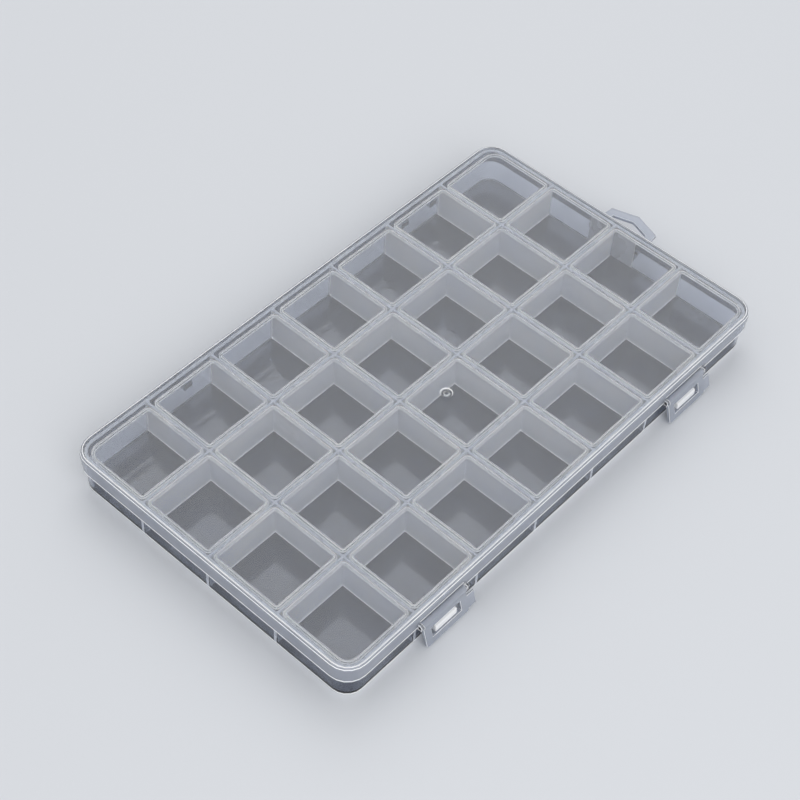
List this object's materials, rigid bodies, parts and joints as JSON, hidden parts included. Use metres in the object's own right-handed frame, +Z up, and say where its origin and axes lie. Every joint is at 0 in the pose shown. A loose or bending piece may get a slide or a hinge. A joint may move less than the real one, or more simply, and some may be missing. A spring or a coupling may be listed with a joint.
{
  "type": "compartment storage box",
  "caption": "Flat translucent box with a tray of fixed compartments, a lid on rear pin hinges, front snap latches and a hang tab at one end, for beads and small parts.",
  "frame": {"origin": "middle of the closed lid's outline, on the surface the tray rests on", "axes": "+X along the long side towards the hang tab, -Y towards the latches, +Z up"},
  "size_m": [0.2377, 0.1401, 0.018],
  "materials": {
    "tray": "moulded natural polypropylene, milky clear",
    "lid": "moulded clarified polypropylene, clear",
    "latch": "moulded natural polypropylene, milky clear",
    "pin": "drawn polypropylene rod"
  },
  "bodies": {
    "tray": {"tray_shell": "tray", "hang_tab": "tray", "hinge_pin_left": "pin", "hinge_pin_right": "pin", "long_divider_1": "tray", "long_divider_2": "tray", "long_divider_3": "tray", "cross_divider_1": "tray", "cross_divider_2": "tray", "cross_divider_3": "tray", "cross_divider_4": "tray", "cross_divider_5": "tray", "cross_divider_6": "tray"},
    "lid": {"lid": "lid"},
    "latch_left": {"latch_left": "latch"},
    "latch_right": {"latch_right": "latch"}
  },
  "joints": [
    {"name": "lid_hinge", "type": "hinge", "parent": "tray", "child": "lid", "pos_m": [0, 0.0686, 0.009], "axis": [-1, 0, 0], "range_deg": [0, 180]},
    {"name": "latch_left_hinge", "type": "hinge", "parent": "lid", "child": "latch_left", "pos_m": [-0.0665, -0.0663, 0.0106], "axis": [-1, 0, 0], "range_deg": [-15, 115]},
    {"name": "latch_right_hinge", "type": "hinge", "parent": "lid", "child": "latch_right", "pos_m": [0.0665, -0.0663, 0.0106], "axis": [-1, 0, 0], "range_deg": [-15, 115]}
  ]
}
